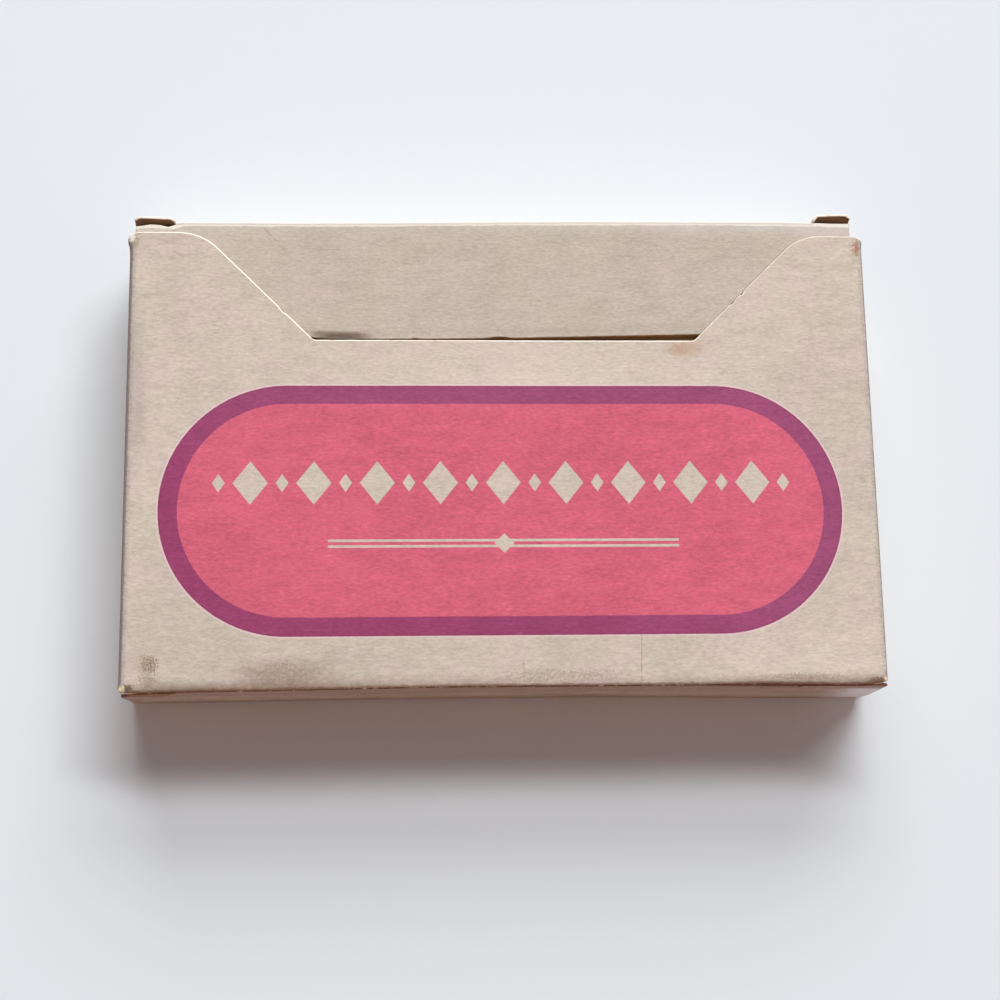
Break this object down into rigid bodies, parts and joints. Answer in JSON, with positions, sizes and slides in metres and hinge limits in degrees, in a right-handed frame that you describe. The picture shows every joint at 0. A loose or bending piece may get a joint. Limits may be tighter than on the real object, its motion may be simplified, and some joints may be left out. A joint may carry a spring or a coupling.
{
  "type": "index card carton",
  "caption": "Flat folding paperboard tuck carton for 3 x 5 inch cards, with a deep front notch, slit-lock lid, tuck flaps and dust flaps on crease hinges.",
  "frame": {"origin": "centre of the carton's outline on the back panel's outer face, which is the face it lies on", "axes": "+X across the carton towards its right side as the front panel is read, +Y towards the lid, +Z out of the printed front panel"},
  "size_m": [0.1296, 0.0836, 0.0175],
  "materials": {
    "printed_board": "matt uncoated board printed beige, with a printed band on the front panel",
    "card_stock": "matt smooth card",
    "dried_glue": "dull dried adhesive"
  },
  "bodies": {
    "tube": {"front_panel": "printed_board", "back_panel": "printed_board", "left_side_panel": "printed_board", "right_side_panel": "printed_board", "glue_flap": "printed_board", "seam_glue": "dried_glue", "index_cards": "card_stock"},
    "lid": {"lid_panel": "printed_board"},
    "lid_tuck": {"lid_tuck_flap": "printed_board"},
    "left_top_dust": {"left_top_dust_flap": "printed_board"},
    "right_top_dust": {"right_top_dust_flap": "printed_board"},
    "bottom": {"bottom_panel": "printed_board"},
    "bottom_tuck": {"bottom_tuck_flap": "printed_board"},
    "left_bottom_dust": {"left_bottom_dust_flap": "printed_board"},
    "right_bottom_dust": {"right_bottom_dust_flap": "printed_board"}
  },
  "joints": [
    {"name": "lid_hinge", "type": "hinge", "parent": "tube", "child": "lid", "pos_m": [0, 0.04025, 0.0003], "axis": [-1, 0, 0], "range_deg": [0, 85]},
    {"name": "lid_tuck_crease", "type": "hinge", "parent": "lid", "child": "lid_tuck", "pos_m": [0, 0.04025, 0.0167], "axis": [-1, 0, 0], "range_deg": [0, 90]},
    {"name": "left_top_dust_crease", "type": "hinge", "parent": "tube", "child": "left_top_dust", "pos_m": [-0.0645, 0.03875, 0.00875], "axis": [0, 0, 1], "range_deg": [0, 85]},
    {"name": "right_top_dust_crease", "type": "hinge", "parent": "tube", "child": "right_top_dust", "pos_m": [0.0645, 0.03875, 0.00875], "axis": [0, 0, -1], "range_deg": [0, 85]},
    {"name": "bottom_hinge", "type": "hinge", "parent": "tube", "child": "bottom", "pos_m": [0, -0.04155, 0.0003], "axis": [1, 0, 0], "range_deg": [0, 85]},
    {"name": "bottom_tuck_crease", "type": "hinge", "parent": "bottom", "child": "bottom_tuck", "pos_m": [0, -0.0413, 0.0158], "axis": [-1, 0, 0], "range_deg": [0, 51]},
    {"name": "left_bottom_dust_crease", "type": "hinge", "parent": "tube", "child": "left_bottom_dust", "pos_m": [-0.0645, -0.04005, 0.00875], "axis": [0, 0, -1], "range_deg": [0, 85]},
    {"name": "right_bottom_dust_crease", "type": "hinge", "parent": "tube", "child": "right_bottom_dust", "pos_m": [0.0645, -0.04005, 0.00875], "axis": [0, 0, 1], "range_deg": [0, 85]}
  ],
  "couplings": [
    {"joint": "left_top_dust_crease", "follows": "lid_hinge", "ratio": 1},
    {"joint": "right_top_dust_crease", "follows": "lid_hinge", "ratio": 1},
    {"joint": "bottom_tuck_crease", "follows": "bottom_hinge", "ratio": 0.6},
    {"joint": "left_bottom_dust_crease", "follows": "bottom_hinge", "ratio": 1},
    {"joint": "right_bottom_dust_crease", "follows": "bottom_hinge", "ratio": 1}
  ]
}
